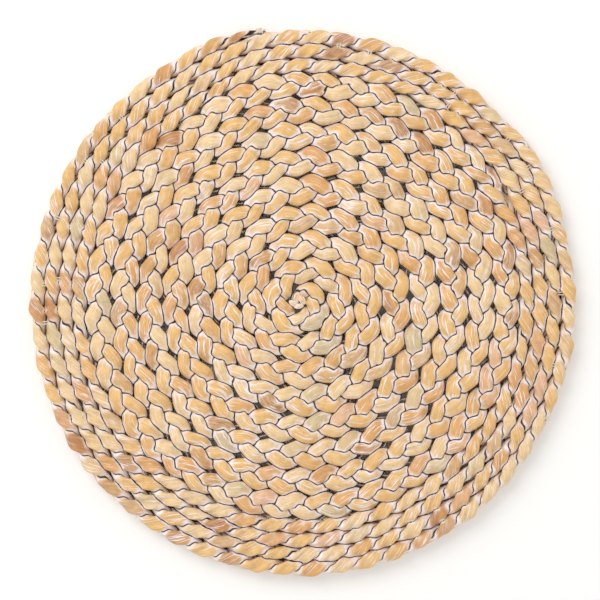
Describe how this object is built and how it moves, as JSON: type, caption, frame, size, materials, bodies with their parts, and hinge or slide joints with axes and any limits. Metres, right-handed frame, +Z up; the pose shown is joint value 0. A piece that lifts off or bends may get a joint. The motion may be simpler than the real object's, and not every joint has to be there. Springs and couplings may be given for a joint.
{
  "type": "chair seat pad",
  "caption": "Round seat pad: one long three-strand plait of split plant stems, coiled flat and sewn, with the last rows stood on edge as a rim.",
  "frame": {"origin": "middle of the pad, on the surface it rests on", "axes": "+Z up through the pad's face; the plait is laid clockwise from +Y seen from above, and its tail ends beside +Y"},
  "size_m": [0.3788, 0.3838, 0.0166],
  "materials": {
    "stem": "dried plant stem, split and plaited, with a thin rubbed whitewash",
    "thread": "twisted sewing thread, off-white"
  },
  "bodies": {
    "root": {"strand_a_stem_01": "stem", "strand_a_stem_02": "stem", "strand_a_stem_03": "stem", "strand_a_stem_04": "stem", "strand_a_stem_05": "stem", "strand_a_stem_06": "stem", "strand_a_stem_07": "stem", "strand_a_stem_08": "stem", "strand_a_stem_09": "stem", "strand_a_stem_10": "stem", "strand_a_stem_11": "stem", "strand_a_stem_12": "stem", "strand_a_stem_13": "stem", "strand_b_stem_01": "stem", "strand_b_stem_02": "stem", "strand_b_stem_03": "stem", "strand_b_stem_04": "stem", "strand_b_stem_05": "stem", "strand_b_stem_06": "stem", "strand_b_stem_07": "stem", "strand_b_stem_08": "stem", "strand_b_stem_09": "stem", "strand_b_stem_10": "stem", "strand_b_stem_11": "stem", "strand_b_stem_12": "stem", "strand_b_stem_13": "stem", "strand_c_stem_01": "stem", "strand_c_stem_02": "stem", "strand_c_stem_03": "stem", "strand_c_stem_04": "stem", "strand_c_stem_05": "stem", "strand_c_stem_06": "stem", "strand_c_stem_07": "stem", "strand_c_stem_08": "stem", "strand_c_stem_09": "stem", "strand_c_stem_10": "stem", "strand_c_stem_11": "stem", "strand_c_stem_12": "stem", "strand_c_stem_13": "stem", "seam_thread_01": "thread", "seam_thread_02": "thread", "seam_thread_03": "thread", "seam_thread_04": "thread", "seam_thread_05": "thread", "start_binding": "thread", "tail_binding": "thread"}
  },
  "joints": []
}
